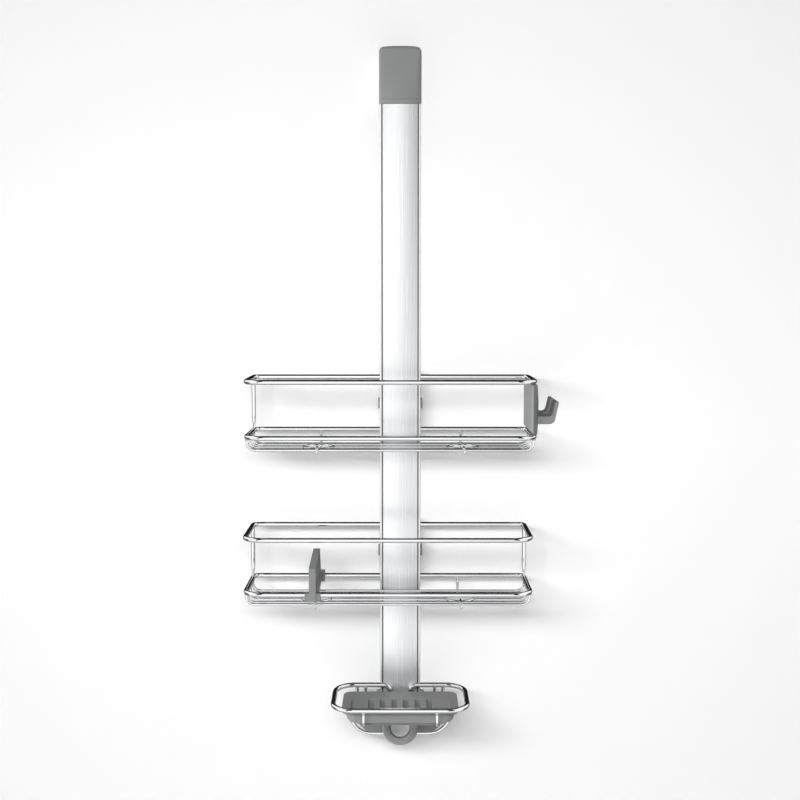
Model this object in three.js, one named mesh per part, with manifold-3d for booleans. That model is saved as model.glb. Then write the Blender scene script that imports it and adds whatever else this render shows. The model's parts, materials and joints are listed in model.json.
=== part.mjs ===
// Over-door shower caddy: an aluminium post hung from a door's top edge, two wire baskets that slide
// up and down on it and sideways on their carriages, a soap dish and a suction cup at the foot.
// Millimetres. +Z is up, +X is right, and +Y points from the room into the door. The origin is the
// middle of the soft pad that rests on the door's top edge.
import * as THREE from "three";
import { mergeVertices } from "three/addons/utils/BufferGeometryUtils.js";
import Module from "manifold-3d";

const wasm = await Module();
wasm.setup();

// ---------- Driving dimensions ----------

const GAP = 0.3; // clearance between pieces that touch or are welded

const DOOR = { thickness: 35 };
DOOR.face = -DOOR.thickness / 2; // the side towards the room

const POST = {
  width: 43,
  depth: 6.3,
  wall: 1.5,
  face: DOOR.face - 31, // front of the post
  flangeSet: 0.6, // the edge flanges lie this far behind the crowned face
  groove: 18.8, // centre of the side grooves
  grooveWidth: 1.2,
  grooveDepth: 1,
  slot: 18, // open slot along the back
  top: -50,
  bottom: -688,
};
POST.back = POST.face + POST.depth;

const BASKET = {
  halfWidth: 144.3, // to the middle of the rim wire
  depth: 79.5,
  height: 55.6,
  rearRadius: 6,
  frontRadius: 18,
  rimWire: 5,
  uprightWire: 4,
  floorWire: 2.6,
  floorDrop: 14, // floor wires below the bottom rim
  floorBend: 9,
  rear: POST.back + 3, // middle of the rear rim wire
};
BASKET.front = BASKET.rear - BASKET.depth;

// Floor wires' distances from the rings' centre line, rear first.
const FLOOR_OFFSETS = [26.5, 18.2, 6.1, -6.1, -18.2, -27];

const RING = {
  offset: 74, // from the basket's centre, to either side
  y: POST.face - 28.3,
  radius: 15.3,
  wire: 2.7,
  braceWire: 2.6,
  hookWire: 2.2,
  under: 3, // the brace passes this far under the floor wires
  over: 2.8, // the hook passes this far over them
  hookReach: 16.2, // how far the hook runs forward of the ring before it turns down
};

const SHELVES = [
  { name: "upper", top: -331.2, centre: -9.8 },
  { name: "lower", top: -489.2, centre: -12.4 },
];

const CARRIAGE = {
  halfWidth: 20,
  overhang: 7, // above and below the rim wires
  back: BASKET.rear + 8.7,
  wireRun: 2.9, // half height of the channels that the rim wires slide in
  tongueNeck: 8.6,
  tongueHead: 14,
  buttonHalfHeight: 5.5,
  buttonReach: 23.4, // outer face of a squeeze button
};

// The side hook's panel lies from `inner` to `outer` of the rim wire's middle.
const HOOK = {
  inner: -4.4,
  outer: 3,
  length: 74,
  armDrop: 42, // underside of the prongs, below the top rim
  armThickness: 7.8,
  armWidth: 61,
  razorSlot: 9, // between the two prongs
};

const DIVIDER = {
  offset: -75.3, // from the basket's centre
  thickness: 7,
  frontHeight: 28, // over the bottom rim, as is rearHeight
  rearHeight: 34.5,
  heelHeight: 4.6,
  reach: 5.2, // the fin and its foot wrap this far in front of the rim wire's middle
  footHalfWidth: 8,
  mouth: 2.2, // half width of the openings that snap over the rim wires from above
};

const CAP = { halfWidth: 21.9, face: POST.face - 1.1, crown: 1.2, bevel: 4.5, top: 8.8, breakZ: -25.6 };
const STRAP = { thickness: 2, halfWidth: 15, foot: -118, rearFoot: -62 };

const DISH = {
  ringHalfWidth: 68.5,
  ringWire: 5,
  ringZ: -661.2,
  ringRear: POST.face - 3.6,
  ringFront: POST.face - 79,
  ringRadius: 21,
  legX: 11.2, // where the ring's two ends turn down
  cradleX: 37,
  cradleWire: 3.2,
  cradleZ: -678.2,
  trayTop: -666.8,
  trayFloor: -679.7,
  ribPitch: 12.1,
  ribs: 7,
};

const TRAY = {
  halfWidth: 60,
  shellHalfWidth: 54.8,
  wellHalfWidth: 51,
  wellDepth: 8.6, // at the front, where the ribs end
  rim: 2.4, // thickness of the flange that rests on the ring
  rear: POST.face - 10,
  front: POST.face - 70,
  slotHalfWidth: 2.9,
};

const BRACKET = {
  halfWidth: 46.5,
  neck: 26.5, // half width of the block that the post stands in
  top: -672,
  shoulder: -683, // top of the two wings
  bottom: -712.6,
  front: POST.face - 8,
  back: POST.face + 14,
  radius: 20,
};

const HOOP = { x: 54.2, y: POST.face - 2, z: BRACKET.bottom - 2.6, radius: 24, wire: 3.6 };

const SUCTION = { z: -705.2, dial: 19.3, disc: 10.6, stud: 3.8, cup: 27 };

// ---------- Materials ----------

function finish(color, roughness, metalness) {
  return () => new THREE.MeshStandardMaterial({ color, roughness, metalness });
}
const aluminium = finish(0xd6d8da, 0.32, 1);
const chrome = finish(0xe4e6e8, 0.06, 1);
const greyPlastic = finish(0x8d8e91, 0.5, 0);
const palePlastic = finish(0xbfc1c3, 0.4, 0);
const rubber = finish(0x4b4d50, 0.85, 0);
const clearVinyl = finish(0xd9dee0, 0.25, 0);
const steel = finish(0xa9abad, 0.35, 1);

const caddy = new THREE.Group();

function addPart(name, geometry, material) {
  const mesh = new THREE.Mesh(geometry, material());
  mesh.name = name;
  caddy.add(mesh);
}

// ---------- Shapes ----------

const vec = (x, y, z) => new THREE.Vector3(x, y, z);

function outline(points) {
  return new THREE.Shape(points.map(([x, y]) => new THREE.Vector2(x, y)));
}

// A rectangle with a radius at each corner, from the low x and low y corner round anticlockwise.
function roundedRect(x0, y0, x1, y1, [r0, r1, r2, r3]) {
  const shape = new THREE.Shape();
  shape.moveTo(x0 + r0, y0);
  shape.lineTo(x1 - r1, y0);
  if (r1) shape.absarc(x1 - r1, y0 + r1, r1, -Math.PI / 2, 0);
  shape.lineTo(x1, y1 - r2);
  if (r2) shape.absarc(x1 - r2, y1 - r2, r2, 0, Math.PI / 2);
  shape.lineTo(x0 + r3, y1);
  if (r3) shape.absarc(x0 + r3, y1 - r3, r3, Math.PI / 2, Math.PI);
  shape.lineTo(x0, y0 + r0);
  if (r0) shape.absarc(x0 + r0, y0 + r0, r0, Math.PI, 1.5 * Math.PI);
  return shape;
}

function extrude(shape, depth, curveSegments) {
  return new THREE.ExtrudeGeometry(shape, { depth, bevelEnabled: false, curveSegments });
}

// A plan outline in X and Y, from z0 up to z1.
function alongZ(shape, z0, z1, curveSegments = 5) {
  return extrude(shape, z1 - z0, curveSegments).translate(0, 0, z0);
}

// A front outline in X and Z, from y0 back to y1.
function alongY(shape, y0, y1, curveSegments = 5) {
  return extrude(shape, y1 - y0, curveSegments).rotateX(Math.PI / 2).translate(0, y1, 0);
}

// A side outline in Y and Z, from x0 across to x1.
function alongX(shape, x0, x1, curveSegments = 5) {
  const turn = new THREE.Matrix4().makeBasis(vec(0, 1, 0), vec(0, 0, 1), vec(1, 0, 0));
  return extrude(shape, x1 - x0, curveSegments).applyMatrix4(turn).translate(x0, 0, 0);
}

function block([x0, x1], [y0, y1], [z0, z1]) {
  const box = new THREE.BoxGeometry(x1 - x0, y1 - y0, z1 - z0);
  return box.translate((x0 + x1) / 2, (y0 + y1) / 2, (z0 + z1) / 2);
}

// A rod along Y between y0 and y1.
function rodY(radius, y0, y1, x, z, sides = 16) {
  const rod = new THREE.CylinderGeometry(radius, radius, y1 - y0, sides);
  return rod.translate(x, (y0 + y1) / 2, z);
}

function solidOf(geometry) {
  const bare = geometry.clone();
  bare.deleteAttribute("normal");
  bare.deleteAttribute("uv");
  const merged = mergeVertices(bare, 1e-4);
  const vertProperties = merged.attributes.position.array;
  return new wasm.Manifold(new wasm.Mesh({ numProp: 3, vertProperties, triVerts: merged.index.array }));
}

function geometryOf(solid) {
  const mesh = solid.getMesh();
  const geometry = new THREE.BufferGeometry();
  geometry.setAttribute("position", new THREE.BufferAttribute(mesh.vertProperties, 3));
  geometry.setIndex(new THREE.BufferAttribute(mesh.triVerts, 1));
  return geometry;
}

function cut(body, ...tools) {
  return geometryOf(tools.reduce((left, tool) => left.subtract(solidOf(tool)), solidOf(body)));
}

function join(body, ...others) {
  return geometryOf(others.reduce((sum, other) => sum.add(solidOf(other)), solidOf(body)));
}

function common(body, ...others) {
  return geometryOf(others.reduce((rest, other) => rest.intersect(solidOf(other)), solidOf(body)));
}

// A path through the given points, straight between them, whose own points are the extrusion's steps.
class WirePath extends THREE.Curve {
  constructor(points) {
    super();
    this.points = points;
  }

  getPoint(t) {
    const place = t * (this.points.length - 1);
    const before = Math.min(Math.floor(place), this.points.length - 2);
    return this.points[before].clone().lerp(this.points[before + 1], place - before);
  }

  getPointAt(u) {
    return this.getPoint(u);
  }

  getTangentAt(u) {
    const last = this.points.length - 1;
    const here = Math.round(u * last);
    const tangent = vec(0, 0, 0);
    for (const from of [here - 1, here]) {
      if (from < 0 || from >= last) continue;
      tangent.add(this.points[from + 1].clone().sub(this.points[from]).normalize());
    }
    return tangent.normalize();
  }
}

// The corners' path with each inner corner turned into an arc of its own radius.
function bend(corners, radii, arcSteps = 3) {
  const path = [corners[0]];
  corners.slice(1, -1).forEach((corner, i) => {
    const back = corners[i].clone().sub(corner).normalize();
    const ahead = corners[i + 2].clone().sub(corner).normalize();
    const turn = Math.PI - back.angleTo(ahead);
    const radius = Array.isArray(radii) ? radii[i] : radii;
    const middle = back.clone().add(ahead).normalize();
    const centre = corner.clone().addScaledVector(middle, radius / Math.cos(turn / 2));
    const reach = radius * Math.tan(turn / 2);
    const first = corner.clone().addScaledVector(back, reach).sub(centre);
    const second = corner.clone().addScaledVector(ahead, reach).sub(centre);
    for (let step = 0; step <= arcSteps; step++) {
      const angle = (turn * step) / arcSteps;
      const spoke = first.clone().multiplyScalar(Math.sin(turn - angle));
      spoke.addScaledVector(second, Math.sin(angle)).divideScalar(Math.sin(turn));
      path.push(centre.clone().add(spoke));
    }
  });
  path.push(corners[corners.length - 1]);
  return path;
}

function wire(points, diameter, sides = 8) {
  const section = new THREE.Shape().absarc(0, 0, diameter / 2, 0, 2 * Math.PI);
  return new THREE.ExtrudeGeometry(section, {
    extrudePath: new WirePath(points),
    steps: points.length - 1,
    curveSegments: sides,
  });
}

// The outline of a flat strip bent along a path of points in one plane.
function stripOutline(points, thickness) {
  const path = new WirePath(points);
  const last = points.length - 1;
  const side = (half) =>
    points.map((point, i) => {
      const ahead = path.getTangentAt(i / last);
      return [point.x - ahead.y * half, point.y + ahead.x * half];
    });
  return outline([...side(-thickness / 2), ...side(thickness / 2).reverse()]);
}

// ---------- Post ----------

// Half of the extrusion's section, mirrored: crowned face, two grooves, edge flanges, open back.
function postSection() {
  const { width, depth, wall, flangeSet, groove, grooveWidth, grooveDepth, slot } = POST;
  const edge = width / 2;
  const inGroove = groove - grooveWidth / 2;
  const outGroove = groove + grooveWidth / 2;
  const crown = [0, 0.35, 0.65, 1].map((share) => [share * inGroove, flangeSet * share ** 2]);
  const half = [
    ...crown,
    [inGroove, flangeSet + grooveDepth],
    [outGroove, flangeSet + grooveDepth],
    [outGroove, flangeSet],
    [edge - 0.8, flangeSet],
    [edge, flangeSet + 0.8],
    [edge, depth - 0.8],
    [edge - 0.8, depth],
    [slot / 2, depth],
    [slot / 2, depth - wall],
    [edge - wall, depth - wall],
    [edge - wall, flangeSet + wall],
    [0, flangeSet + wall],
  ];
  const mirrored = half.slice(1, -1).map(([x, y]) => [-x, y]).reverse();
  return outline([...half, ...mirrored].map(([x, y]) => [x, POST.face + y]));
}

function makePost() {
  addPart("post_extrusion", alongZ(postSection(), POST.bottom, POST.top - GAP), aluminium);
}

// ---------- Door hanger ----------

const STRAP_POST_Y = POST.back - POST.wall - GAP - STRAP.thickness / 2; // inside the post's back lips
const STRAP_FRONT_Y = STRAP_POST_Y - STRAP.thickness / 2;
const STRAP_TOP_Z = 2.05 + GAP + STRAP.thickness / 2;
const STRAP_REAR_Y = -DOOR.face + 3.15 + GAP + STRAP.thickness / 2;
const SCREW_Z = [-78, -100];

function strapOutline(thickness) {
  const corners = [
    vec(STRAP_POST_Y, STRAP.foot, 0),
    vec(STRAP_POST_Y, STRAP_TOP_Z, 0),
    vec(STRAP_REAR_Y, STRAP_TOP_Z, 0),
    vec(STRAP_REAR_Y, STRAP.rearFoot, 0),
  ];
  return stripOutline(bend(corners, 4), thickness);
}

// The moulded cover: a bevelled cap that carries on from the post and a lid over the strap.
function makeCap() {
  const { halfWidth, face, crown, bevel, top, breakZ } = CAP;
  const rear = STRAP_REAR_Y + 5;
  const side = outline([
    [face, POST.top],
    [DOOR.face, POST.top],
    [DOOR.face, 0.4],
    [rear, 0.4],
    [rear, top - 3],
    [rear - 3, top],
    [face + 6.5, top],
    [face + 3, top - 2.2],
    [face + 1.6, top - 6.5],
    [face, breakZ],
  ]);
  const crowned = [-1, -0.5, 0, 0.5, 1].map((share) => [
    share * (halfWidth - bevel),
    face + crown * share ** 2,
  ]);
  const plan = outline([
    ...crowned,
    [halfWidth, face + crown + 1.3],
    [halfWidth, rear],
    [-halfWidth, rear],
    [-halfWidth, face + crown + 1.3],
  ]);
  const front = new THREE.Shape();
  front.moveTo(-halfWidth, POST.top);
  front.lineTo(halfWidth, POST.top);
  front.lineTo(halfWidth, top - 6.5);
  front.quadraticCurveTo(halfWidth, top - 1.6, halfWidth - 5, top - 1.2);
  front.quadraticCurveTo(0, top + 1.2, 5 - halfWidth, top - 1.2);
  front.quadraticCurveTo(-halfWidth, top - 1.6, -halfWidth, top - 6.5);
  const body = common(
    alongX(side, -halfWidth, halfWidth),
    alongZ(plan, POST.top - 1, top + 1),
    alongY(front, face - 1, rear + 1),
  );
  const wall = 2.4;
  const hollow = block(
    [wall - halfWidth, halfWidth - wall],
    [STRAP_FRONT_Y - GAP, DOOR.face - wall],
    [POST.top - 1, top - 5],
  );
  const strapRun = block(
    [-STRAP.halfWidth - GAP, STRAP.halfWidth + GAP],
    [STRAP_FRONT_Y - GAP, rear + 1],
    [-1, STRAP_TOP_Z + STRAP.thickness / 2 + GAP],
  );
  addPart("hanger_cap", cut(body, hollow, strapRun), greyPlastic);
}

function makeHanger() {
  const { halfWidth, thickness, rearFoot } = STRAP;
  const screwHoles = SCREW_Z.map((z) => rodY(2.4, STRAP_POST_Y - 5, STRAP_POST_Y + 9, 0, z, 12));
  const strap = alongX(strapOutline(thickness), -halfWidth, halfWidth);
  addPart("hanger_strap", cut(strap, ...screwHoles), steel);
  makeCap();

  const plate = block([-16, 16], [POST.back + GAP, POST.back + 2.8], [-112, -66]);
  addPart("hanger_clamp_plate", cut(plate, ...screwHoles), steel);
  SCREW_Z.forEach((z, i) => {
    const head = rodY(4, POST.back + 3.1, POST.back + 5.6, 0, z, 12);
    const shank = rodY(2, STRAP_FRONT_Y, POST.back + 4, 0, z, 12);
    addPart(`hanger_screw_${i + 1}`, join(head, shank), steel);
  });

  const coverBack = STRAP_REAR_Y + thickness / 2 + GAP;
  const cover = block(
    [-halfWidth - 3, halfWidth + 3],
    [STRAP_REAR_Y - 3, coverBack + 2.6],
    [rearFoot - 3.5, 0],
  );
  const strapSlot = block(
    [-halfWidth - GAP, halfWidth + GAP],
    [STRAP_REAR_Y - 4, coverBack],
    [rearFoot - GAP, 1],
  );
  addPart("hanger_rear_cover", cut(cover, strapSlot), greyPlastic);

  const padRadii = [3, 3, 3, 3];
  addPart("door_top_pad", alongZ(roundedRect(-14, -16, 14, 16, padRadii), 0, 2.05, 3), rubber);
  const rearPad = roundedRect(-13, rearFoot + 2, 13, -12, padRadii);
  addPart("door_rear_pad", alongY(rearPad, -DOOR.face, -DOOR.face + 3.15, 3), rubber);
}

// ---------- Shelves ----------

// How far the rim wire reaches sideways at a given y, front corners included.
function rimReach(y) {
  const { halfWidth, front, frontRadius } = BASKET;
  const past = Math.max(0, front + frontRadius - y);
  return halfWidth - frontRadius + Math.sqrt(frontRadius ** 2 - past ** 2);
}

// One rim: a wire loop that closes at a butt joint in the middle of the back.
function rimGeometry(centre, z) {
  const { halfWidth, rear, front, rearRadius, frontRadius, rimWire } = BASKET;
  const corners = [
    vec(centre + GAP / 2, rear, z),
    vec(centre + halfWidth, rear, z),
    vec(centre + halfWidth, front, z),
    vec(centre - halfWidth, front, z),
    vec(centre - halfWidth, rear, z),
    vec(centre - GAP / 2, rear, z),
  ];
  return wire(bend(corners, [rearRadius, frontRadius, frontRadius, rearRadius], 4), rimWire);
}

// Floor wires hang from the bottom rim's sides; the two middle ones stop at the rings.
function makeFloor(shelf, bottom) {
  const { rimWire, floorWire, floorDrop, floorBend } = BASKET;
  const { name, centre } = shelf;
  const floor = bottom - floorDrop;
  const end = bottom - rimWire / 2 - GAP;
  const ringEdge = RING.radius + RING.wire / 2;
  FLOOR_OFFSETS.forEach((offset, i) => {
    const y = RING.y + offset;
    const reach = rimReach(y);
    const partName = `${name}_floor_wire_${i + 1}`;
    const across = [vec(centre - reach, y, end), vec(centre - reach, y, floor)];
    if (Math.abs(offset) > RING.radius) {
      across.push(vec(centre + reach, y, floor), vec(centre + reach, y, end));
      addPart(partName, wire(bend(across, floorBend), floorWire, 6), chrome);
      return;
    }
    const inner = RING.offset - ringEdge;
    const outer = RING.offset + ringEdge;
    for (const [word, side] of [["left", -1], ["right", 1]]) {
      const corners = [
        vec(centre + side * reach, y, end),
        vec(centre + side * reach, y, floor),
        vec(centre + side * outer, y, floor),
      ];
      addPart(`${partName}_${word}`, wire(bend(corners, floorBend), floorWire, 6), chrome);
    }
    const between = [vec(centre - inner, y, floor), vec(centre + inner, y, floor)];
    addPart(`${partName}_middle`, wire(between, floorWire, 6), chrome);
  });
}

// A bottle-neck ring in the floor, its brace to the rear rim and the hook in front of it.
function ringGeometry(x, bottom) {
  const { rear, rimWire, floorDrop } = BASKET;
  const { y, radius, under, over, hookReach } = RING;
  const floor = bottom - floorDrop;
  const hoop = new THREE.TorusGeometry(radius, RING.wire / 2, 8, 20).translate(x, y, floor);
  const ringBack = y + radius;
  const brace = [
    vec(x, rear, bottom - rimWire / 2 - GAP),
    vec(x, rear, floor - under),
    vec(x, ringBack + 1.4, floor - under),
    vec(x, ringBack - 0.4, floor - 0.6),
  ];
  const ringFront = y - radius;
  const hook = [
    vec(x, ringFront, floor + 0.6),
    vec(x, ringFront - 1.4, floor + over),
    vec(x, ringFront - hookReach, floor + over),
    vec(x + 0.9, ringFront - hookReach - 1, floor + 0.4),
    vec(x - 0.2, ringFront - hookReach - 0.4, floor - 2.9),
  ];
  const braceWire = wire(bend(brace.slice(0, 3), 4).concat(brace[3]), RING.braceWire, 6);
  return join(hoop, braceWire, wire(hook, RING.hookWire, 6));
}

function makeBasket(shelf) {
  const { name, top, centre } = shelf;
  const { height, halfWidth, rimWire, uprightWire, rear, rearRadius } = BASKET;
  const bottom = top - height;
  addPart(`${name}_top_rim`, rimGeometry(centre, top), chrome);
  addPart(`${name}_bottom_rim`, rimGeometry(centre, bottom), chrome);
  const sides = [["left", -1], ["right", 1]];
  for (const [word, side] of sides) {
    const x = centre + side * halfWidth;
    const y = rear - rearRadius;
    const upright = [vec(x, y, bottom + rimWire / 2 + GAP), vec(x, y, top - rimWire / 2 - GAP)];
    addPart(`${name}_upright_${word}`, wire(upright, uprightWire), chrome);
    addPart(`${name}_ring_hook_${word}`, ringGeometry(centre + side * RING.offset, bottom), chrome);
  }
  makeFloor(shelf, bottom);
}

// The carriage grips the back of the post with two T-shaped tongues and carries both rear rim wires
// in channels that are closed by the post.
function makeCarriage(shelf) {
  const { halfWidth, overhang, back, wireRun, tongueNeck, tongueHead, buttonHalfHeight } = CARRIAGE;
  const top = shelf.top;
  const bottom = top - BASKET.height;
  const middle = (top + bottom) / 2;
  const front = POST.back + GAP + 0.1;
  const channelBack = BASKET.rear + wireRun;
  const radii = [3, 3, 3, 3];
  const body = alongY(
    roundedRect(-halfWidth, bottom - overhang, halfWidth, top + overhang, radii), front, back, 3,
  );
  const channels = [top, bottom].map((z) =>
    block([-halfWidth - 1, halfWidth + 1], [front - 1, channelBack], [z - wireRun, z + wireRun]));
  const pocketBack = front + 8.6;
  const buttonRun = buttonHalfHeight + 0.6;
  const pocket = block(
    [-halfWidth - 1, halfWidth + 1], [front - 1, pocketBack], [middle - buttonRun, middle + buttonRun],
  );
  const lipFace = POST.back - POST.wall;
  const tongues = [1, -1].map((side) => {
    const spans = [middle + side * (buttonRun + 1), middle + side * (BASKET.height / 2 - wireRun - 1)];
    const z = spans.sort((a, b) => a - b);
    const neck = block([-tongueNeck, tongueNeck], [lipFace - 1, front + 1], z);
    const head = block([-tongueHead, tongueHead], [lipFace - 2.3, lipFace - GAP], z);
    return join(neck, head);
  });
  addPart(`${shelf.name}_carriage`, join(cut(body, ...channels, pocket), ...tongues), greyPlastic);

  const buttonFront = front + GAP;
  const button = (side) => {
    const section = [
      [6, POST.back - 1.8],
      [8.6, POST.back - 1.8],
      [8.6, buttonFront + 3.2],
      [20.8, buttonFront + 3.2],
      [20.8, buttonFront],
      [CARRIAGE.buttonReach - 0.8, buttonFront],
      [CARRIAGE.buttonReach, buttonFront + 0.8],
      [CARRIAGE.buttonReach, buttonFront + 7.6],
      [20.8, buttonFront + 7.6],
      [6, buttonFront + 6.6],
    ];
    const sided = outline(section.map(([x, y]) => [side * x, y]));
    return alongZ(sided, middle - buttonHalfHeight, middle + buttonHalfHeight);
  };
  addPart(`${shelf.name}_button_right`, button(1), greyPlastic);
  addPart(`${shelf.name}_button_left`, button(-1), greyPlastic);

  const springY = buttonFront + 4.6;
  const springTurns = [[-5.4, -1.2], [-2.4, 1], [2.4, 1], [5.4, -1.2]];
  const spring = bend(springTurns.map(([x, y]) => vec(x, springY + y, 0)), 1.2, 2);
  addPart(`${shelf.name}_button_spring`, alongZ(stripOutline(spring, 0.5), middle - 3, middle + 3), steel);
}

// ---------- Accessories on the baskets ----------

// A panel that fills the upper basket's right end between the rims, with a two-pronged hook outside.
function makeSideHook() {
  const shelf = SHELVES[0];
  const side = shelf.centre + BASKET.halfWidth;
  const inner = side + HOOK.inner;
  const outer = side + HOOK.outer;
  const wireTop = BASKET.rimWire / 2 + GAP;
  const low = shelf.top - BASKET.height + wireTop;
  const high = shelf.top - wireTop;
  const front = BASKET.front + 1;
  const panelOutline = outline([
    [inner + 3, low],
    [outer, low],
    [outer, high],
    [inner, high],
    [inner, low + 3],
  ]);
  const panelEnd = front + HOOK.length;
  const plan = roundedRect(inner, front, outer, panelEnd, [0.8, 3.4, 3.4, 0.8]);
  const uprightRun = BASKET.uprightWire / 2 + GAP;
  const uprightSlot = block(
    [side - uprightRun, side + uprightRun],
    [BASKET.rear - BASKET.rearRadius - uprightRun, panelEnd + 1],
    [low - 1, high + 1],
  );
  const panel = common(alongY(panelOutline, front, panelEnd), alongZ(plan, low, high, 4));

  // Each prong runs straight out from the panel and then turns up, thinner towards its tip.
  const armLow = shelf.top - HOOK.armDrop;
  const armHigh = armLow + HOOK.armThickness;
  const tip = armHigh + 15;
  const arm = [
    [outer - 1, armLow],
    [outer + 14, armLow],
    [outer + 16.4, armLow + 5],
    [outer + 20.2, tip],
    [outer + 17, tip],
    [outer + 14.9, armHigh + 4.4],
    [outer + 13.6, armHigh + 1.4],
    [outer + 11, armHigh],
    [outer - 1, armHigh],
  ];
  const armFront = front + 4;
  const slotFront = armFront + (HOOK.armWidth - HOOK.razorSlot) / 2 + 2.5;
  const razorSlot = block(
    [outer + 8, outer + 22], [slotFront, slotFront + HOOK.razorSlot], [armLow + 5, tip + 1],
  );
  const prongs = cut(alongY(outline(arm), armFront, armFront + HOOK.armWidth), razorSlot);
  addPart("upper_side_hook", join(cut(panel, uprightSlot), prongs), greyPlastic);
}

// A fin across the lower basket, snapped over the bottom rim's front and rear wires.
function makeDivider() {
  const { offset, thickness, frontHeight, rearHeight, heelHeight, reach, footHalfWidth, mouth } = DIVIDER;
  const shelf = SHELVES[1];
  const x = shelf.centre + offset;
  const rim = shelf.top - BASKET.height;
  const { front, rear, rimWire } = BASKET;
  const toe = rim - 5.8;
  const fin = outline([
    [front - reach, toe],
    [front - reach, rim + frontHeight],
    [rear - 22, rim + rearHeight],
    [rear - 12, rim + 10],
    [rear - 11, rim + heelHeight],
    [rear - 3.2, rim + heelHeight],
    [rear - 3.2, rim - 5],
    [front + 8, toe],
  ]);
  const blade = alongX(fin, x - thickness / 2, x + thickness / 2);
  const foot = block(
    [x - footHalfWidth, x + footHalfWidth],
    [front - reach + 0.6, front + 4.8],
    [toe - 0.6, rim + 2.3],
  );
  const clip = block([x - 1, x + 7], [rear - 6, rear + 5.4], [rim - 5.2, rim + 5.2]);
  const wireHole = rimWire / 2 + GAP;
  const wireSpace = [front, rear].flatMap((y) => {
    const rod = new THREE.CylinderGeometry(wireHole, wireHole, 40, 12).rotateZ(Math.PI / 2);
    return [rod.translate(x, y, rim), block([x - 20, x + 20], [y - mouth, y + mouth], [rim - 8, rim])];
  });
  addPart("lower_divider", cut(join(blade, foot, clip), ...wireSpace), greyPlastic);
}

// ---------- Soap dish ----------

function makeDishWires() {
  const { ringHalfWidth, ringWire, ringZ, ringRear, ringFront, ringRadius, legX } = DISH;
  const legEnd = BRACKET.top - 12;
  const corners = [
    vec(legX, ringRear, legEnd),
    vec(legX, ringRear, ringZ),
    vec(ringHalfWidth, ringRear, ringZ),
    vec(ringHalfWidth, ringFront, ringZ),
    vec(-ringHalfWidth, ringFront, ringZ),
    vec(-ringHalfWidth, ringRear, ringZ),
    vec(-legX, ringRear, ringZ),
    vec(-legX, ringRear, legEnd),
  ];
  const radii = [6, ringRadius, ringRadius, ringRadius, ringRadius, 6];
  addPart("dish_ring", wire(bend(corners, radii, 5), ringWire), chrome);

  const { cradleX, cradleZ, cradleWire } = DISH;
  const underRing = ringZ - ringWire / 2 - GAP;
  for (const [word, side] of [["left", -1], ["right", 1]]) {
    const x = side * cradleX;
    const cradle = [
      vec(x, ringFront, underRing),
      vec(x, ringFront, cradleZ),
      vec(x, ringRear, cradleZ),
      vec(x, ringRear, underRing),
    ];
    addPart(`dish_cradle_${word}`, wire(bend(cradle, 6), cradleWire, 6), chrome);
  }

  const hoop = [
    [46, underRing],
    [46, underRing - 6],
    [HOOP.x, underRing - 17],
    [HOOP.x, HOOP.z],
  ];
  const right = hoop.map(([x, z]) => vec(x, HOOP.y, z));
  const left = hoop.map(([x, z]) => vec(-x, HOOP.y, z)).reverse();
  const hoopRadii = [5, 8, HOOP.radius, HOOP.radius, 8, 5];
  addPart("dish_hoop", wire(bend([...right, ...left], hoopRadii, 4), HOOP.wire), chrome);
}

// A lift-out tray: a flanged shell whose ribs slope down to the front, with drain slots between.
function makeTray() {
  const { trayTop, trayFloor, ribs, ribPitch, cradleX, cradleWire, cradleZ } = DISH;
  const { halfWidth, shellHalfWidth, wellHalfWidth, wellDepth, rim, rear, front, slotHalfWidth } = TRAY;
  const flangePlan = roundedRect(-halfWidth, front - 1, halfWidth, rear + 2, [13, 13, 9, 9]);
  const flange = alongZ(flangePlan, trayTop - rim, trayTop, 5);

  const cheek = trayFloor + 8; // the sides curve inwards below this height
  const shellFront = new THREE.Shape();
  shellFront.moveTo(-38, trayFloor);
  shellFront.lineTo(38, trayFloor);
  shellFront.lineTo(46, trayFloor + 2.4);
  shellFront.quadraticCurveTo(shellHalfWidth, trayFloor + 3.4, shellHalfWidth, cheek);
  shellFront.lineTo(shellHalfWidth, trayTop - 1);
  shellFront.lineTo(-shellHalfWidth, trayTop - 1);
  shellFront.lineTo(-shellHalfWidth, cheek);
  shellFront.quadraticCurveTo(-shellHalfWidth, trayFloor + 3.4, -46, trayFloor + 2.4);
  const shellPlan = roundedRect(-shellHalfWidth, front, shellHalfWidth, rear, [9, 9, 7, 7]);
  const shell = common(alongY(shellFront, front, rear), alongZ(shellPlan, trayFloor - 1, trayTop, 4));

  // The well's floor falls slowly at first and faster towards the front.
  const wellFront = front + 2.6;
  const well = outline([
    [rear - 18, trayTop + 1],
    [rear - 18, trayTop],
    [rear - 30, trayTop - wellDepth * 0.16],
    [rear - 41, trayTop - wellDepth * 0.51],
    [rear - 52, trayTop - wellDepth],
    [wellFront, trayTop - wellDepth],
    [wellFront, trayTop + 1],
  ]);
  const dished = alongX(well, -wellHalfWidth, wellHalfWidth);
  const slots = [];
  for (let i = 0; i < ribs - 1; i++) {
    const x = (i - (ribs - 2) / 2) * ribPitch;
    slots.push(block(
      [x - slotHalfWidth, x + slotHalfWidth], [front + 6, rear - 20], [trayFloor - 1, trayTop + 1],
    ));
  }
  const grooves = [-cradleX, cradleX].map((x) => {
    const half = cradleWire / 2 + GAP;
    return block([x - half, x + half], [front - 1, rear + 1], [trayFloor - 1, cradleZ + half]);
  });
  addPart("soap_tray", cut(join(flange, shell), dished, ...slots, ...grooves), greyPlastic);
}

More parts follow.
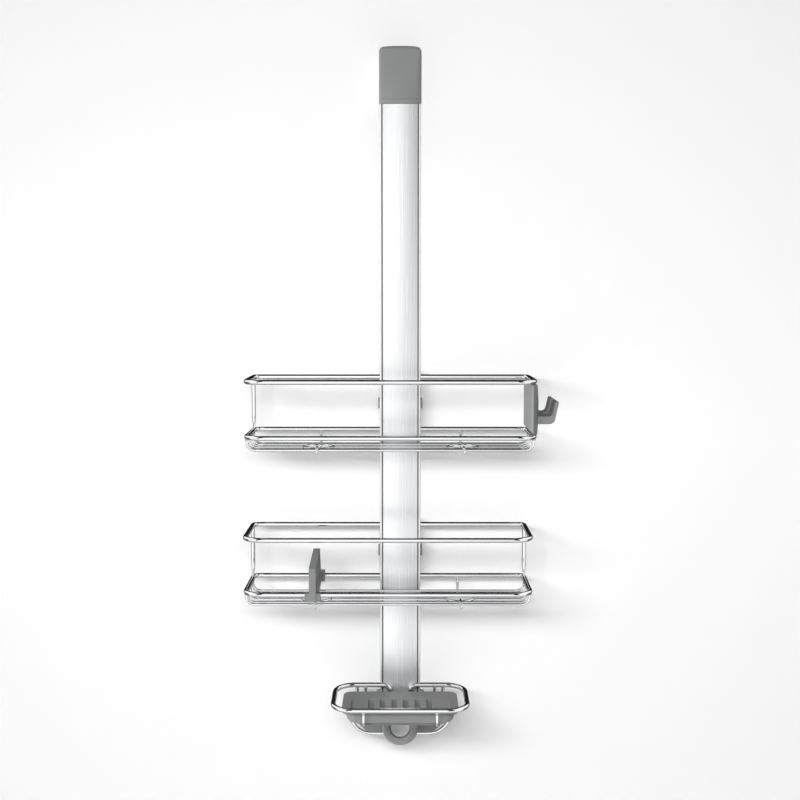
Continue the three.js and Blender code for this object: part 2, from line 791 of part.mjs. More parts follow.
// The moulded bracket that the post's foot sits in, with the dish ring's two ends in its front.
function makeBracket() {
  const { halfWidth, neck, top, shoulder, bottom, front, back, radius } = BRACKET;
  const shield = roundedRect(-halfWidth, bottom, halfWidth, shoulder, [radius, radius, 5, 5]);
  const tower = roundedRect(-neck, bottom + radius, neck, top, [0, 0, 3, 3]);
  const body = join(alongY(shield, front, back, 6), alongY(tower, front, back, 3));
  const socket = block(
    [-POST.width / 2 - GAP, POST.width / 2 + GAP],
    [POST.face - GAP, POST.back + GAP],
    [POST.bottom - GAP, top + 1],
  );
  const legHole = DISH.ringWire / 2 + GAP;
  const holes = [-DISH.legX, DISH.legX].map((x) => {
    const hole = new THREE.CylinderGeometry(legHole, legHole, 16, 12).rotateX(Math.PI / 2);
    return hole.translate(x, DISH.ringRear, top - 4.5 - GAP);
  });
  const pockets = [-1, 1].map((side) => {
    const spans = [side * (POST.width / 2 + 3), side * (halfWidth - 3)].sort((a, b) => a - b);
    return block(spans, [POST.face, back + 1], [bottom + 12, shoulder - 3]);
  });
  const bore = rodY(SUCTION.stud + 0.4, front - 1, back + 1, 0, SUCTION.z);
  addPart("dish_bracket", cut(body, socket, ...holes, ...pockets, bore), greyPlastic);
}

function makeSuction() {
  const { z, dial, disc, stud, cup } = SUCTION;
  const dialFront = BRACKET.front - 5.2;
  const ring = rodY(dial, dialFront, BRACKET.front - GAP, 0, z, 32);
  const well = rodY(disc + 0.5, dialFront - 1, BRACKET.front + 1, 0, z, 24);
  addPart("suction_dial", cut(ring, well), greyPlastic);

  const cupHubBack = DOOR.face - 9;
  const knob = rodY(disc, dialFront + 1.4, BRACKET.front - 1.2, 0, z, 24);
  const shaft = rodY(stud, BRACKET.front - 2, cupHubBack - GAP, 0, z, 12);
  addPart("suction_plunger", join(knob, shaft), palePlastic);

  const hubFront = BRACKET.back + GAP;
  const face = DOOR.face;
  const profile = [
    [0, cupHubBack],
    [stud + 0.5, cupHubBack],
    [stud + 0.5, hubFront],
    [9, hubFront],
    [9, cupHubBack + 1],
    [18, face - 5],
    [cup, face - 1.2],
    [cup, face],
    [cup - 3, face],
    [16, face - 3.2],
    [0, face - 6],
  ];
  const lathe = new THREE.LatheGeometry(profile.map(([r, y]) => new THREE.Vector2(r, y)), 28);
  addPart("suction_cup", lathe.translate(0, 0, z), clearVinyl);
}

makePost();
makeHanger();
for (const shelf of SHELVES) {
  makeBasket(shelf);
  makeCarriage(shelf);
}
makeSideHook();
makeDivider();
makeDishWires();
makeTray();
makeBracket();
makeSuction();

export default caddy;
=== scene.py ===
"""Looks of the over-door shower caddy: smooth wire baskets, a drawn aluminium post and moulded grey
plastic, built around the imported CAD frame. Outlines are in millimetres and meshes in metres."""

import json
import math

import bmesh
import bpy
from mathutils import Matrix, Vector

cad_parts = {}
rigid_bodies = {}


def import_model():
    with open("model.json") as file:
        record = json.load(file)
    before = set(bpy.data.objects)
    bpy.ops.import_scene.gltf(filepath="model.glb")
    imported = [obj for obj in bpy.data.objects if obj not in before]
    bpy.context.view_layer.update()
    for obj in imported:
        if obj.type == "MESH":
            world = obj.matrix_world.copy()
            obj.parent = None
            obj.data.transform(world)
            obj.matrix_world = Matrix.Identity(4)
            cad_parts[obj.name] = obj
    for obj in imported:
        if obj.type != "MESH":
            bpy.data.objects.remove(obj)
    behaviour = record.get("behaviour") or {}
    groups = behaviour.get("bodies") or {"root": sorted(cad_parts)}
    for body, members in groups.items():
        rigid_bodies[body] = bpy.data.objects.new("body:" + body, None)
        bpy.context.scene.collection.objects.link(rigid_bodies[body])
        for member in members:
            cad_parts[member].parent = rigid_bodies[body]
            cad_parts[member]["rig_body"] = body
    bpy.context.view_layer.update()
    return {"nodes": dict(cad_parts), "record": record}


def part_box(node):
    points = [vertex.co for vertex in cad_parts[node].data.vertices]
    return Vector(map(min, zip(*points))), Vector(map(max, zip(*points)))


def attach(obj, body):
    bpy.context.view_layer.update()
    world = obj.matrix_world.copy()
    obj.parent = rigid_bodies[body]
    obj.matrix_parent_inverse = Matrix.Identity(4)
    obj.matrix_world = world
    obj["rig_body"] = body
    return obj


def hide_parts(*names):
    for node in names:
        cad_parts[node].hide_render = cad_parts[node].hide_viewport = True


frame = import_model()
MM = 0.001

# ---------- Driving dimensions, in millimetres ----------

REAR_RADIUS = 6  # rim corners next to the post's back
FRONT_RADIUS = 18
FLOOR_BEND = 9
RING_RADIUS = 15.3
DISH_RADIUS = 21
LEG_X = 11.2  # where the dish ring's ends turn down
GROOVE_X = 18.8  # the grooves along the post's face
RIM_WIRE = 2.5  # the radius of the rims' wire and of the dish ring's
WELD = 0.9  # how far a wire's end runs into the wire that it is welded to
BEAD = 0.7  # how much wider a wire is where it is welded
BEAD_LIMIT = 2.4
FLARE = ((2.6, 0), (2.0, 0.15), (1.5, 0.5))  # from a weld, how far out the wire has what share of the bead
DOOR_FACE = -17.5  # the door's front, which is the wall behind the caddy
PLAY = 0.3  # clearance between pieces that fit together
QUARTER = (0, 0.4, 0.8, 1.2, 1.57)  # the steps of a quarter turn, in radians
SHELVES = ("upper", "lower")
SIDES = (("left", -1), ("right", 1))


def box_mm(node):
    low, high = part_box(node)
    return low / MM, high / MM


# ---------- Materials ----------


class Nodes:
    """A node tree and the ways to grow it."""

    def __init__(self, tree):
        self.tree = tree

    def add(self, kind, **settings):
        node = self.tree.nodes.new(kind)
        for key, value in settings.items():
            setattr(node, key, value)
        return node

    def link(self, source, target):
        self.tree.links.new(source, target)

    def feed(self, sockets, values):
        """Sets each socket to its number, or links it to its output."""
        for socket, value in zip(sockets, values):
            if isinstance(value, (int, float)):
                socket.default_value = value
            else:
                self.link(value, socket)

    def maths(self, operation, *values):
        node = self.add("ShaderNodeMath", operation=operation)
        self.feed(node.inputs, values)
        return node.outputs["Value"]

    def spread(self, value, low, high, start=0.3, end=0.7, shape="LINEAR"):
        """The value's place between start and end, as a number from low to high."""
        node = self.add("ShaderNodeMapRange", interpolation_type=shape)
        names = ("Value", "From Min", "From Max", "To Min", "To Max")
        self.feed([node.inputs[name] for name in names], (value, start, end, low, high))
        return node.outputs["Result"]


class Shade(Nodes):
    """A node material around one Principled shader, with its texture space in millimetres."""

    def __init__(self, name, **sockets):
        self.material = bpy.data.materials.new(name)
        self.material.use_nodes = True
        super().__init__(self.material.node_tree)
        self.shader = self.tree.nodes["Principled BSDF"]
        for socket, value in sockets.items():
            self.shader.inputs[socket.replace("_", " ")].default_value = value
        self.coordinates = self.add("ShaderNodeTexCoord").outputs["Object"]

    def stretched(self, per_mm):
        """The object's coordinates with this many texture units in each millimetre of X, Y and Z."""
        mapping = self.add("ShaderNodeMapping")
        mapping.inputs["Scale"].default_value = [n / MM for n in per_mm]
        self.link(self.coordinates, mapping.inputs["Vector"])
        return mapping.outputs["Vector"]

    def noise(self, per_mm, detail=3.0, roughness=0.5):
        node = self.add("ShaderNodeTexNoise")
        node.inputs["Scale"].default_value = 1.0
        node.inputs["Detail"].default_value = detail
        node.inputs["Roughness"].default_value = roughness
        self.link(self.stretched(per_mm), node.inputs["Vector"])
        return node.outputs["Fac"]

    def tint(self, value, dark, light):
        node = self.add("ShaderNodeMix", data_type="RGBA")
        node.inputs[6].default_value = (*dark, 1)
        node.inputs[7].default_value = (*light, 1)
        self.link(value, node.inputs[0])
        self.link(node.outputs[2], self.shader.inputs["Base Color"])

    def rough(self, value, low, high):
        self.link(self.spread(value, low, high), self.shader.inputs["Roughness"])

    def bump(self, value, strength, depth_mm):
        node = self.add("ShaderNodeBump")
        node.inputs["Strength"].default_value = strength
        node.inputs["Distance"].default_value = depth_mm * MM
        self.link(value, node.inputs["Height"])
        self.link(node.outputs["Normal"], self.shader.inputs["Normal"])


def grey(level):
    """A grey that is barely cool."""
    return (level, level * 1.008, level * 1.02)


def chrome():
    """Polished plating: faint swirls from the buffing wheel and a few dried drops."""
    shade = Shade("chrome_plating", Metallic=1.0)
    shade.tint(shade.noise((0.05, 0.05, 0.05)), grey(0.86), grey(0.93))
    shade.rough(shade.noise((0.6, 0.6, 0.6), 5), 0.02, 0.06)
    shade.bump(shade.noise((2, 2, 2), 2), 0.02, 0.01)
    return shade.material


def satin_aluminium():
    """Anodised extrusion with fine lines drawn lengthways, and painted shade that darkens it along its
    grooves.
    """
    shade = Shade("drawn_aluminium", Metallic=0.65)
    lines = shade.noise((9, 9, 0.02), 4, 0.6)
    parts = shade.add("ShaderNodeSeparateXYZ")
    shade.link(shade.stretched((1, 1, 1)), parts.inputs[0])
    across = shade.maths("ABSOLUTE", parts.outputs[0])
    off_groove = shade.maths("ABSOLUTE", shade.maths("SUBTRACT", across, GROOVE_X))
    # Painted shade: the colour goes near black along the two grooves, in place of the shadow inside them,
    # with the drawn lines mixed in a little.
    free_of_groove_shade = shade.spread(off_groove, 0.0, 1.0, 0.45, 0.85)
    groove_shade_and_lines = shade.maths("ADD", shade.maths("MULTIPLY", free_of_groove_shade, 0.9), shade.maths("MULTIPLY", lines, 0.1))
    shade.tint(groove_shade_and_lines, grey(0.1), grey(0.84))
    shade.rough(shade.noise((5, 5, 0.01), 4, 0.6), 0.22, 0.28)
    shade.bump(lines, 0.06, 0.01)
    return shade.material


def moulded(name, level, rough, grain=2.2):
    """Moulded plastic with a fine spark-eroded grain and a slight cloudiness."""
    shade = Shade(name)
    shade.tint(shade.noise((0.03, 0.03, 0.03), 3), grey(level * 0.985), grey(level * 1.015))
    shade.rough(shade.noise((0.3, 0.3, 0.3), 4), rough - 0.04, rough + 0.06)
    shade.bump(shade.noise((grain, grain, grain), 2), 0.12, 0.04)
    return shade.material


def rubber():
    shade = Shade("black_rubber")
    shade.tint(shade.noise((0.08, 0.08, 0.08), 5), grey(0.045), grey(0.075))
    shade.rough(shade.noise((0.5, 0.5, 0.5)), 0.7, 0.9)
    shade.bump(shade.noise((1.2, 1.2, 1.2), 4), 0.4, 0.12)
    return shade.material


def vinyl():
    """Soft clear vinyl, slightly cloudy."""
    shade = Shade("clear_vinyl", IOR=1.45)
    shade.shader.inputs["Transmission Weight"].default_value = 0.75
    shade.tint(shade.noise((0.1, 0.1, 0.1), 3), (0.80, 0.84, 0.85), (0.9, 0.93, 0.94))
    shade.rough(shade.noise((0.2, 0.2, 0.2)), 0.12, 0.28)
    shade.bump(shade.noise((0.5, 0.5, 0.5), 3), 0.1, 0.08)
    return shade.material


def plated_steel():
    """Zinc plate with the crossing scratches that a strip gets in the press."""
    shade = Shade("plated_steel", Metallic=1.0)
    scratches = shade.noise((0.4, 3, 9), 5, 0.65)
    shade.tint(scratches, grey(0.42), grey(0.56))
    shade.rough(scratches, 0.28, 0.42)
    shade.bump(scratches, 0.15, 0.03)
    return shade.material


MATERIALS = {
    "chrome_wire": chrome(),
    "satin_aluminium": satin_aluminium(),
    "grey_plastic": moulded("grey_plastic", 0.235, 0.42),
    "pale_plastic": moulded("pale_plastic", 0.5, 0.3, 1.5),
    "rubber": rubber(),
    "clear_vinyl": vinyl(),
    "steel": plated_steel(),
}
SLOT_OF = {part["node"]: part["material_slot"] for part in frame["record"]["subparts"]}

# ---------- Mesh tools ----------


def new_object(name, vertices, faces):
    mesh = bpy.data.meshes.new(name)
    mesh.from_pydata([tuple(Vector(v) * MM) for v in vertices], [], faces)
    mesh.validate()
    obj = bpy.data.objects.new(name, mesh)
    bpy.context.scene.collection.objects.link(obj)
    return obj


def bend(corners, radii, steps=8):
    """The corners' path with each inner corner turned into an arc of its own radius."""
    corners = [Vector(c) for c in corners]
    path = [corners[0]]
    for i in range(1, len(corners) - 1):
        radius = radii[i - 1] if isinstance(radii, (list, tuple)) else radii
        path += fillet(corners[i - 1], corners[i], corners[i + 1], radius, steps)
    path.append(corners[-1])
    return path


def fillet(before, corner, after, radius, steps):
    back = (before - corner).normalized()
    ahead = (after - corner).normalized()
    turn = math.pi - back.angle(ahead)
    if radius <= 0 or turn < 1e-3:
        return [corner]
    centre = corner + (back + ahead).normalized() * radius / math.cos(turn / 2)
    reach = radius * math.tan(turn / 2)
    first = corner + back * reach - centre
    last = corner + ahead * reach - centre
    return [
        centre
        + (first * math.sin(turn * (1 - k / steps)) + last * math.sin(turn * k / steps)) / math.sin(turn)
        for k in range(steps + 1)
    ]


def rounded(points, radii, steps=6):
    """A closed outline with an arc at each corner."""
    corners = [Vector((*p, 0)) for p in points]
    result = []
    for i, corner in enumerate(corners):
        radius = radii[i] if isinstance(radii, (list, tuple)) else radii
        ahead = corners[(i + 1) % len(corners)]
        result += fillet(corners[i - 1], corner, ahead, radius, steps)
    return [(p.x, p.y) for p in result]


def rectangle(x0, y0, x1, y1):
    return [(x0, y0), (x1, y0), (x1, y1), (x0, y1)]


PLACES = {
    "X": lambda a, b, along: (along, a, b),
    "Y": lambda a, b, along: (a, along, b),
    "Z": lambda a, b, along: (a, b, along),
}


def prism(outline, axis, low, high):
    """A closed solid: an outline in the two other axes, in their order, run along axis."""
    area = sum(p[0] * q[1] - q[0] * p[1] for p, q in zip(outline, outline[1:] + outline[:1]))
    if (area > 0) == (axis == "Y"):
        outline = outline[::-1]
    place, count = PLACES[axis], len(outline)
    vertices = [place(*p, low) for p in outline] + [place(*p, high) for p in outline]
    faces = [tuple(range(count))[::-1], tuple(range(count, 2 * count))]
    faces += [(i, (i + 1) % count, count + (i + 1) % count, count + i) for i in range(count)]
    return new_object("prism", vertices, faces)


def block(x, y, z):
    return prism(rectangle(x[0], y[0], x[1], y[1]), "Z", *z)


def circle(centre, radius, sides):
    turns = [2 * math.pi * k / sides for k in range(sides)]
    return [(centre[0] + radius * math.cos(a), centre[1] + radius * math.sin(a)) for a in turns]


def rod(axis, centre, radius, low, high, sides=48):
    return prism(circle(centre, radius, sides), axis, low, high)


def bake(obj):
    """Applies the object's modifiers."""
    graph = bpy.context.evaluated_depsgraph_get()
    mesh = bpy.data.meshes.new_from_object(obj.evaluated_get(graph))
    obj.modifiers.clear()
    obj.data = mesh
    return obj


def combine(operation, body, tools):
    for tool in tools:
        step = body.modifiers.new("combine", "BOOLEAN")
        step.operation = operation
        step.solver = "EXACT"
        step.object = tool
        bake(body)
        bpy.data.objects.remove(tool)
    return body


def cut(body, *tools):
    return combine("DIFFERENCE", body, tools)


def join(body, *tools):
    return combine("UNION", body, tools)


def common(body, *tools):
    return combine("INTERSECT", body, tools)


def soften(obj, width, segments=3, angle=28):
    """Rounds every edge, with flat faces that stay flat in the light."""
    merge = obj.modifiers.new("merge", "WELD")
    merge.merge_threshold = 0.005 * MM
    flat = obj.modifiers.new("flat", "DECIMATE")
    flat.decimate_type = "DISSOLVE"
    flat.angle_limit = math.radians(0.4)
    edge = obj.modifiers.new("edge", "BEVEL")
    edge.width = width * MM
    edge.segments = segments
    edge.limit_method = "ANGLE"
    edge.angle_limit = math.radians(angle)
    edge.use_clamp_overlap = False
    bake(obj)
    obj.data.shade_smooth()
    obj.data.set_sharp_from_angle(angle=math.radians(50))
    normals = obj.modifiers.new("normals", "WEIGHTED_NORMAL")
    normals.keep_sharp = True
    return bake(obj)


def tube(path, radius, sides=20, closed=False, tip=False):
    """A round wire along a path. radius is one number or one for each point; tip rounds both ends."""
    path = [Vector(p) for p in path]
    radii = list(radius) if isinstance(radius, (list, tuple)) else [radius] * len(path)
    path, radii = with_guards(path, radii, closed)
    if tip:
        path, radii = rounded_ends(path, radii)
    count = len(path)
    tangents = []
    for i in range(count):
        before = path[i - 1] if closed or i else path[i]
        after = path[(i + 1) % count] if closed or i < count - 1 else path[i]
        into = (path[i] - before).normalized() if (path[i] - before).length else Vector()
        out = (after - path[i]).normalized() if (after - path[i]).length else Vector()
        tangents.append((into + out).normalized())
    side = tangents[0].orthogonal().normalized()
    vertices = []
    for i, tangent in enumerate(tangents):
        if i:
            side = tangents[i - 1].rotation_difference(tangent) @ side
        other = tangent.cross(side)
        for k in range(sides):
            angle = 2 * math.pi * k / sides
            vertices.append(path[i] + (side * math.cos(angle) + other * math.sin(angle)) * radii[i])
    faces = walls(count, sides, closed)
    if not closed:
        faces += [tuple(range(sides))[::-1], tuple(range((count - 1) * sides, count * sides))]
    obj = new_object("tube", vertices, faces)
    obj.data.shade_smooth()
    obj.data.set_sharp_from_angle(angle=math.radians(60))
    return obj


def walls(count, sides, closed):
    """The faces between each ring of points and the next."""
    faces = []
    for i in range(count if closed else count - 1):
        here, there = i * sides, (i + 1) % count * sides
        for k in range(sides):
            ahead = (k + 1) % sides
            faces.append((here + k, here + ahead, there + ahead, there + k))
    return faces


def with_guards(path, radii, closed):
    """Extra rings near both ends of each long straight run, so that the light on it stays even."""
    count, gap = len(path), 0.4
    points, widths = [path[0]], [radii[0]]
    for i in range(count if closed else count - 1):
        start, end = path[i], path[(i + 1) % count]
        first, last = radii[i], radii[(i + 1) % count]
        length = (end - start).length
        if length > 4 * max(first, last):
            for share in (gap / length, 1 - gap / length):
                points.append(start.lerp(end, share))
                widths.append(first + (last - first) * share)
        if not closed or i < count - 1:
            points.append(end)
            widths.append(last)
    return points, widths


def rounded_ends(path, radii, steps=4):
    """Extra points that turn a wire's two flat ends into domes."""
    heads = []
    for end, inner, radius in ((path[0], path[1], radii[0]), (path[-1], path[-2], radii[-1])):
        outward = (end - inner).normalized()
        dome = []
        for k in range(1, steps + 1):
            angle = math.pi / 2 * k / (steps + 0.4)
            dome.append((end + outward * radius * math.sin(angle), radius * math.cos(angle)))
        heads.append(dome)
    first = heads[0][::-1]
    points = [p for p, _ in first] + path + [p for p, _ in heads[1]]
    return points, [r for _, r in first] + radii + [r for _, r in heads[1]]


def welded(path, radius, ends=(True, True)):
    """A wire whose ends flare a little where they are welded to a thicker one."""
    path = [Vector(p) for p in path]
    radii = [radius] * len(path)
    bead = min(radius + BEAD, BEAD_LIMIT)
    flare = [(far, radius + (bead - radius) * share) for far, share in FLARE]
    if ends[0]:
        along = (path[1] - path[0]).normalized()
        path[1:1] = [path[0] + along * far for far, _ in flare[::-1]]
        radii[0:1] = [bead, *[wide for _, wide in flare[::-1]]]
    if ends[1]:
        along = (path[-2] - path[-1]).normalized()
        path[-1:-1] = [path[-1] + along * far for far, _ in flare]
        radii[-1:] = [*[wide for _, wide in flare], bead]
    return tube(path, radii)


def merged(objects):
    """Several meshes as one object, each still its own closed shell."""
    vertices, faces = [], []
    for obj in objects:
        start = len(vertices)
        vertices += [v.co / MM for v in obj.data.vertices]
        faces += [tuple(start + i for i in p.vertices) for p in obj.data.polygons]
        bpy.data.objects.remove(obj)
    whole = new_object("merged", vertices, faces)
    whole.data.shade_smooth()
    return whole


def place(obj, name, node):
    """Puts a finished piece in its CAD node's place: the same body and the same material slot."""
    obj.name = name
    obj.data.name = name
    slot = SLOT_OF[node]
    obj.data.materials.clear()
    obj.data.materials.append(MATERIALS[slot])
    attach(obj, frame["nodes"][node]["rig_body"])
    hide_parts(node)


def own_solid(node):
    """A copy of a CAD node's own solid."""
    obj = bpy.data.objects.new(node, frame["nodes"][node].data.copy())
    bpy.context.scene.collection.objects.link(obj)
    return obj


def softened_copy(node, width, segments=3):
    """A CAD node's own solid with its edges rounded."""
    return soften(own_solid(node), width, segments)


# ---------- Post ----------


def post():
    """The extrusion: a crowned face between two grooves, rolled flanges and an open back."""
    low, high = box_mm("post_extrusion")
    half, depth = high.x, high.y - low.y
    groove, flange, wall, crown = GROOVE_X, 0.6, 1.5, 1.3
    mouth, groove_floor = 0.45, 2.6  # half of the groove's width, and how deep it is
    roll, ease, lip = 0.9, 0.8, 9  # radii of the flange's edges, and where the rear lips stop
    face_edge = groove - 0.75
    arc = [(face_edge * k / 12, crown * (k / 12) ** 2) for k in range(13)]
    rolled = [(half - roll + roll * math.sin(a), flange + roll - roll * math.cos(a)) for a in QUARTER]
    side = [
        *arc,
        (groove - mouth - 0.1, crown + 0.25),
        (groove - mouth, groove_floor),
        (groove + mouth, groove_floor),
        (groove + mouth + 0.1, flange + 0.35),
        (groove + 0.85, flange + 0.04),
        *rolled,
        (half, depth - ease),
        (half - 0.25, depth - 0.25),
        (half - ease, depth),
        (lip, depth),
        (lip, depth - wall),
        (half - wall, depth - wall),
        (half - wall, flange + wall),
        (groove + 1.2, 4.0),
        (groove - 1.6, 4.0),
        (groove - 3.2, 2.9),
        (0, 2.6),
    ]
    outline = side + [(-x, y) for x, y in side[1:-1]][::-1]
    extrusion = prism([(x, low.y + y) for x, y in outline], "Z", low.z, high.z)
    extrusion.data.shade_smooth()
    extrusion.data.set_sharp_from_angle(angle=math.radians(32))
    place(extrusion, "post", "post_extrusion")


# ---------- Hanger ----------


def cap():
    """The moulded cap: a tower in line with the post and a lid over the strap, with bevelled corners."""
    low, high = box_mm("hanger_cap")
    half, face, top, foot, rear = high.x, low.y, high.z, low.z, high.y
    crown, bevel, arch, corner_radius = 1.2, 4.5, 1.2, 6
    lid = 0.4  # the height of the lid's underside
    lean, upright_face = 2.2, 25  # how far the face leans back above its upright part, and that part's height
    wall, roof = 2.4, 5
    seam, seam_half, seam_depth = foot + 4.9, 0.25, 0.35
    side = rounded(
        [
            (face, foot), (DOOR_FACE, foot), (DOOR_FACE, lid), (rear, lid),
            (rear, top), (face + lean, top), (face, foot + upright_face),
        ],
        [0.8, 0.6, 1.2, 1, 4, 5.5, 0],
    )
    edge = half - bevel
    crowned = [(edge * k / 5, face + crown * (k / 5) ** 2) for k in range(-5, 6)]
    shoulder = face + crown + 1.3
    plan = rounded(
        [*crowned, (half, shoulder), (half, rear), (-half, rear), (-half, shoulder)],
        [0.8, *[0] * 9, 0.8, 1.6, 4, 4, 1.6],
    )
    inside, under = half - corner_radius, top - arch - corner_radius
    arc = [(inside - inside * k / 6, top - arch * (1 - k / 6) ** 2) for k in range(7)]
    turns = [math.pi / 2 * k / 8 for k in range(8)]
    corner = [(inside + corner_radius * math.cos(a), under + corner_radius * math.sin(a)) for a in turns]
    right = [(half, foot), *corner, *arc]
    front = right + [(-x, z) for x, z in right[:-1]][::-1]
    body = common(
        prism(side, "X", -half, half),
        prism(plan, "Z", foot - 1, top + 1),
        prism(front, "Y", face - 1, rear + 1),
    )
    strap_low, strap_high = box_mm("hanger_strap")
    strap_face = strap_low.y - PLAY
    hollow = block((wall - half, half - wall), (strap_face, DOOR_FACE - wall), (foot - 1, top - roof))
    width = (strap_low.x - PLAY, strap_high.x + PLAY)
    run = block(width, (strap_face, rear + 1), (-1, strap_high.z + PLAY))
    inset = [(x * (1 - seam_depth / half), face + (y - face) * 0.985 + seam_depth) for x, y in plan]
    band = block((-half - 3, half + 3), (face - 3, DOOR_FACE + 1), (seam - seam_half, seam + seam_half))
    groove = cut(band, prism(inset, "Z", seam - 1, seam + 1))
    place(soften(cut(body, hollow, run, groove), 0.15, 2, 40), "cap", "hanger_cap")


def screws():
    """Pan-head screws with a crossed recess."""
    head_height, recess_depth, slot, reach = 2.5, 1.4, 0.55, 2.3
    for number in (1, 2):
        node = f"hanger_screw_{number}"
        low, high = box_mm(node)
        x, z, end, radius = (low.x + high.x) / 2, (low.z + high.z) / 2, high.y, (high.x - low.x) / 2
        head = rod("Y", (x, z), radius, end - head_height, end)
        shank = rod("Y", (x, z), radius / 2, low.y, end - 1)
        recess = [
            block((x - w, x + w), (end - recess_depth, end + 1), (z - h, z + h))
            for w, h in ((slot, reach), (reach, slot))
        ]
        place(soften(cut(join(head, shank), *recess), 0.35, 3), f"screw_{number}", node)


def hanger():
    cap()
    screws()
    place(softened_copy("hanger_strap", 0.3), "strap", "hanger_strap")
    place(softened_copy("hanger_clamp_plate", 0.6), "clamp_plate", "hanger_clamp_plate")
    place(softened_copy("hanger_rear_cover", 1.1), "rear_cover", "hanger_rear_cover")
    place(softened_copy("door_top_pad", 0.5), "top_pad", "door_top_pad")
    ribbed_pad()


def ribbed_pad():
    """The rear pad, with grip ribs across the face that meets the door."""
    low, high = box_mm("door_rear_pad")
    margin, depth, ribs = 3, 0.7, 9
    pad = prism(rounded(rectangle(low.x, low.z, high.x, high.z), 3), "Y", low.y, high.y)
    pitch = (high.z - low.z - 2 * margin) / ribs
    half = pitch * 0.22
    middles = [low.z + margin + pitch * (k + 0.5) for k in range(ribs)]
    width, cut_in = (low.x - 1, high.x + 1), (low.y - 1, low.y + depth)
    grooves = [block(width, cut_in, (z - half, z + half)) for z in middles]
    place(soften(cut(pad, *grooves), 0.25, 2), "rear_pad", "door_rear_pad")


# ---------- Baskets ----------


def rim(node):
    """One closed loop of thick wire."""
    low, high = box_mm(node)
    r = (high.z - low.z) / 2
    z = low.z + r
    x0, x1, y0, y1 = low.x + r, high.x - r, low.y + r, high.y - r
    middle = (x0 + x1) / 2
    corners = [(middle, y1, z), (x1, y1, z), (x1, y0, z), (x0, y0, z), (x0, y1, z), (middle, y1, z)]
    path = bend(corners, [REAR_RADIUS, FRONT_RADIUS, FRONT_RADIUS, REAR_RADIUS], 14)
    place(tube(path[:-1], r, 28, closed=True), node, node)


def upright(node):
    """A rear corner post whose foot narrows and turns forward to the bottom rim's corner."""
    low, high = box_mm(node)
    r = (high.x - low.x) / 2
    x, y = low.x + r, low.y + r
    foot, toe, knee, neck = 0.62, 3.6, 5.5, 11
    turn = [(x, y - toe, low.z - WELD), (x, y, low.z + knee), (x, y, low.z + neck)]
    path = bend(turn, 6, 8) + [Vector((x, y, high.z + WELD))]
    radii = [r * (foot + (1 - foot) * min(1, max(0, p.z - low.z) / neck) ** 0.7) for p in path]
    place(tube(path, radii), node, node)


def floor_wire(node):
    """A thin wire hung from the rim's sides, or the stretch of one that stops at a bottle ring."""
    low, high = box_mm(node)
    r = (high.y - low.y) / 2
    y, floor, top = low.y + r, low.z + r, high.z + WELD
    left, right = low.x + r, high.x - r
    hung_left = not node.endswith(("right", "middle"))
    hung_right = not node.endswith(("left", "middle"))
    start = [(left, y, top), (left, y, floor)] if hung_left else [(low.x - WELD, y, floor)]
    end = [(right, y, floor), (right, y, top)] if hung_right else [(high.x + WELD, y, floor)]
    path = bend(start + end, FLOOR_BEND, 10)
    place(welded(path, r, (hung_left, hung_right)), node, node)


def ring_hook(node):
    """The bottle ring with its brace to the rear rim and the small hook in front."""
    low, high = box_mm(node)
    x = (low.x + high.x) / 2
    ring_wire, wire, hook_wire = (high.x - low.x) / 2 - RING_RADIUS, 1.3, 1.1
    shelf = node.split("_")[0]
    floor = box_mm(f"{shelf}_floor_wire_1")[0].z + wire
    reach, over, under = 16.2, floor + 2.8, floor - 3
    y = low.y + reach + 1 + hook_wire + RING_RADIUS
    back, front, rear = y + RING_RADIUS, y - RING_RADIUS, high.y - wire
    ring = [(a, b, floor) for a, b in circle((x, y), RING_RADIUS, 64)]
    brace = [
        (x, rear, high.z + WELD),
        (x, rear, under),
        (x, back + 2, under),
        (x, back - 0.4, floor - 0.8),
    ]
    hook = [
        (x, front + 0.3, floor + 0.8),
        (x, front - 2.4, over),
        (x, front - reach, over),
        (x + 0.9, front - reach - 0.9, floor + 0.2),
        (x - 0.3, front - reach - 0.3, floor - 2.7),
    ]
    parts = [
        tube(ring, ring_wire, 16, closed=True),
        welded(bend(brace, [4, 2], 8), wire, (True, False)),
        tube(bend(hook, [2, 1.1, 1.4], 6), hook_wire, 14, tip=True),
    ]
    place(merged(parts), node, node)


def baskets():
    for shelf in SHELVES:
        rim(f"{shelf}_top_rim")
        rim(f"{shelf}_bottom_rim")
        for side, _ in SIDES:
            upright(f"{shelf}_upright_{side}")
            ring_hook(f"{shelf}_ring_hook_{side}")
    for node in frame["nodes"]:
        if "_floor_wire_" in node:
            floor_wire(node)


# ---------- Carriages ----------


def carriages():
    for shelf in SHELVES:
        carriage, spring = f"{shelf}_carriage", f"{shelf}_button_spring"
        place(softened_copy(carriage, 0.5), f"{shelf}_slider", carriage)
        place(softened_copy(spring, 0.1, 2), f"{shelf}_spring", spring)
        for side, _ in SIDES:
            node = f"{shelf}_button_{side}"
            place(softened_copy(node, 0.35), f"{node}_key", node)


# ---------- Clip-on pieces ----------


